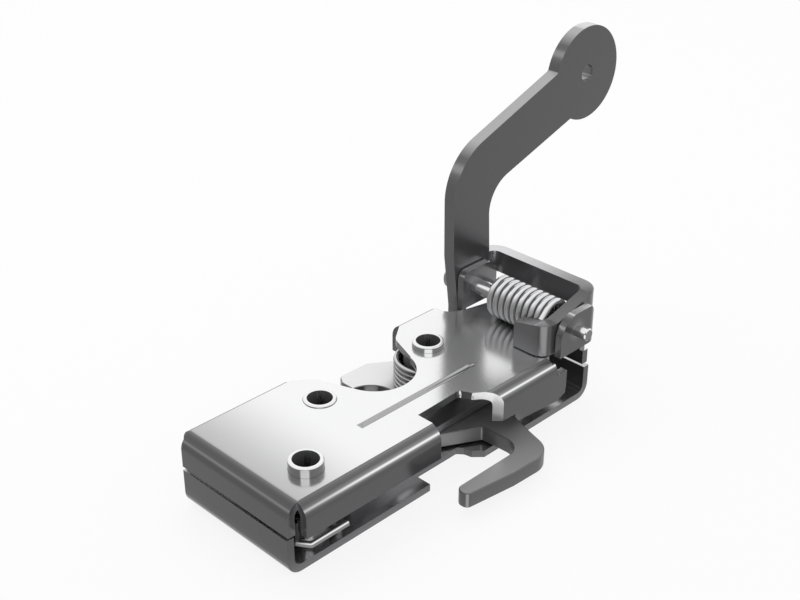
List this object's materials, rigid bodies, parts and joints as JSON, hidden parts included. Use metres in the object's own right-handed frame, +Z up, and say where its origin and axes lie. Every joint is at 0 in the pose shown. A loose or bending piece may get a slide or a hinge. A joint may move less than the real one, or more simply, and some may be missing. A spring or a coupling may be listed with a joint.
{
  "type": "cab door latch",
  "caption": "Rotary cab door latch: folded two-plate housing on hollow posts, J-shaped swinging hook across a throat, sprung locking slide and a tall folded trip lever with a round pad.",
  "frame": {"origin": "where the axis of the hook's post meets the mounting face, which is the underside of the bottom plate", "axes": "+X runs along the housing toward the trip lever, +Y away from the throat toward the back flange, +Z up through the posts"},
  "size_m": [0.1553, 0.0612, 0.0868],
  "materials": {
    "zinc_plate": "bright zinc plate, satin",
    "post_steel": "turned and zinc plated",
    "hook_steel": "hardened steel, zinc plated",
    "inner_steel": "plain dark steel",
    "lever_steel": "zinc plate, satin",
    "spring_wire": "bright drawn wire"
  },
  "bodies": {
    "housing": {"bottom_plate": "zinc_plate", "top_plate": "zinc_plate", "post_left": "post_steel", "post_middle": "post_steel", "post_right": "post_steel", "guide_stud": "post_steel", "spring_stop_pin": "post_steel", "hook_washer": "post_steel", "slide_spring": "spring_wire", "hook_spring": "spring_wire", "lever_pin": "post_steel", "lever_spring": "spring_wire"},
    "lever": {"trip_lever": "lever_steel"},
    "slide": {"locking_slide": "inner_steel", "release_bar": "inner_steel", "bar_rivets": "post_steel"},
    "hook": {"hook": "hook_steel"}
  },
  "joints": [
    {"name": "lever_pull", "type": "hinge", "parent": "housing", "child": "lever", "pos_m": [0.025, -0.008, 0.026], "axis": [0, 1, 0], "range_deg": [0, 14], "stiffness_Nm_per_rad": 0.3, "springref_deg": -45.84, "deforming": ["lever_spring"]},
    {"name": "slide_travel", "type": "slide", "parent": "housing", "child": "slide", "axis": [-1, 0, 0], "range_m": [0, 0.0046], "deforming": ["slide_spring"]},
    {"name": "hook_swing", "type": "hinge", "parent": "housing", "child": "hook", "pos_m": [0, 0, 0.0047], "axis": [0, 0, 1], "range_deg": [0, 28], "deforming": ["hook_spring"]}
  ],
  "couplings": [
    {"joint": "slide_travel", "follows": "lever_pull", "m_per_rad": 0.0188},
    {"joint": "hook_swing", "follows": "lever_pull", "ratio": 2}
  ]
}
